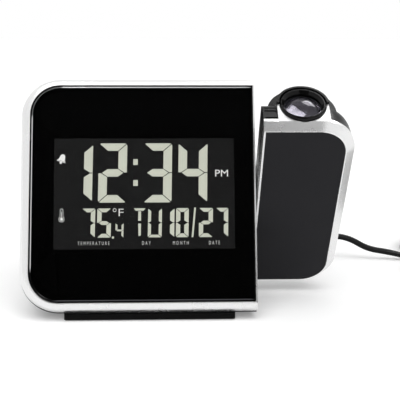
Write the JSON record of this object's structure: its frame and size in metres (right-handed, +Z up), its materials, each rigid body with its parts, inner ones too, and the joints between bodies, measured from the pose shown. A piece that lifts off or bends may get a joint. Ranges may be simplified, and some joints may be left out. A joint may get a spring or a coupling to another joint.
{
  "type": "projection alarm clock",
  "caption": "Bedside alarm clock with a leaning dark display panel and a tilting projector arm with a focus ring, on a coiled low-voltage lead.",
  "frame": {"origin": "centre of the foot pad's underside, on the table", "axes": "+X to the right as seen from the front, +Y to the back, +Z up"},
  "size_m": [0.2566, 0.1596, 0.108],
  "materials": {
    "silver_paint": "satin silver paint on moulded plastic",
    "black_gloss": "gloss black moulding",
    "black_satin": "satin black moulding",
    "clear_window": "clear acrylic sheet, slightly smoked",
    "black_print": "black print behind the window",
    "display": "negative liquid crystal cell, dark with light segments",
    "light_guide": "white diffusing light guide",
    "board": "green solder mask",
    "steel": "plated steel",
    "bush_bronze": "turned bearing metal",
    "cell_jacket": "printed cell jacket, left bare",
    "lens": "coated clear lens",
    "lamp": "tinted lamp body",
    "rubber": "soft black pad",
    "cord": "flexible black sheath",
    "adapter": "satin black moulding",
    "plated_brass": "nickel-plated blade"
  },
  "bodies": {
    "main": {"front_bezel": "silver_paint", "display_frame": "black_gloss", "front_lens": "clear_window", "lens_mask": "black_print", "display_cell": "display", "light_guide": "light_guide", "main_board": "board", "sounder": "black_satin", "rear_housing": "black_satin", "housing_screws": "steel", "foot": "black_gloss", "foot_pad": "rubber", "cells": "cell_jacket", "battery_contacts": "steel", "supply_socket": "black_satin", "supply_plug": "black_satin", "key_board": "board", "hinge_bush": "bush_bronze", "thrust_washer": "black_satin", "spring_washer": "steel", "supply_lead": "cord", "supply_lead_tail": "cord", "supply_coil": "cord", "supply_adapter": "adapter", "adapter_prongs": "plated_brass"},
    "arm": {"arm_frame": "silver_paint", "arm_panel": "black_satin", "arm_rear_shell": "black_gloss", "projector_tube": "black_satin", "shutter_cell": "display", "lamp": "lamp", "lamp_board": "board", "arm_board": "board", "hinge_shaft": "steel", "retaining_clip": "steel"},
    "focus_ring": {"focus_ring": "black_gloss"},
    "lens_cell": {"lens_cell": "black_satin", "projection_lens": "lens"},
    "snooze_bar": {"snooze_bar": "black_gloss"},
    "flip_button": {"flip_button": "black_gloss"},
    "battery_door": {"battery_door": "black_satin"},
    "set_button_1": {"set_button_1": "black_gloss"},
    "set_button_2": {"set_button_2": "black_gloss"},
    "set_button_3": {"set_button_3": "black_gloss"},
    "set_button_4": {"set_button_4": "black_gloss"},
    "set_button_5": {"set_button_5": "black_gloss"},
    "set_button_6": {"set_button_6": "black_gloss"}
  },
  "joints": [
    {"name": "arm_tilt", "type": "hinge", "parent": "main", "child": "arm", "pos_m": [0.04995, 0.00102, 0.0547], "axis": [1, 0, 0], "range_deg": [-52, 57]},
    {"name": "focus_turn", "type": "hinge", "parent": "arm", "child": "focus_ring", "pos_m": [0.06775, -0.02406, 0.09625], "axis": [0, -0.5446, 0.8387], "range_deg": [-150, 150]},
    {"name": "lens_focus", "type": "slide", "parent": "arm", "child": "lens_cell", "axis": [0, -0.5446, 0.8387], "range_m": [-0.00084, 0.00084]},
    {"name": "snooze_press", "type": "slide", "parent": "main", "child": "snooze_bar", "axis": [0, -0.3256, -0.9455], "range_m": [0, 0.001], "stiffness_N_per_m": 600},
    {"name": "flip_press", "type": "slide", "parent": "arm", "child": "flip_button", "axis": [0, -0.8387, -0.5446], "range_m": [0, 0.001], "stiffness_N_per_m": 300},
    {"name": "door_swing", "type": "hinge", "parent": "main", "child": "battery_door", "pos_m": [-0.0065, 0.0212, 0.0104], "axis": [-1, 0, 0], "range_deg": [0, 80]},
    {"name": "set_press_1", "type": "slide", "parent": "main", "child": "set_button_1", "axis": [0, -0.9455, 0.3256], "range_m": [0, 0.001], "stiffness_N_per_m": 300},
    {"name": "set_press_2", "type": "slide", "parent": "main", "child": "set_button_2", "axis": [0, -0.9455, 0.3256], "range_m": [0, 0.001], "stiffness_N_per_m": 300},
    {"name": "set_press_3", "type": "slide", "parent": "main", "child": "set_button_3", "axis": [0, -0.9455, 0.3256], "range_m": [0, 0.001], "stiffness_N_per_m": 300},
    {"name": "set_press_4", "type": "slide", "parent": "main", "child": "set_button_4", "axis": [0, -0.9455, 0.3256], "range_m": [0, 0.001], "stiffness_N_per_m": 300},
    {"name": "set_press_5", "type": "slide", "parent": "main", "child": "set_button_5", "axis": [0, -0.9455, 0.3256], "range_m": [0, 0.001], "stiffness_N_per_m": 300},
    {"name": "set_press_6", "type": "slide", "parent": "main", "child": "set_button_6", "axis": [0, -0.9455, 0.3256], "range_m": [0, 0.001], "stiffness_N_per_m": 300}
  ],
  "couplings": [
    {"joint": "lens_focus", "follows": "focus_turn", "m_per_rad": 0.000318}
  ]
}
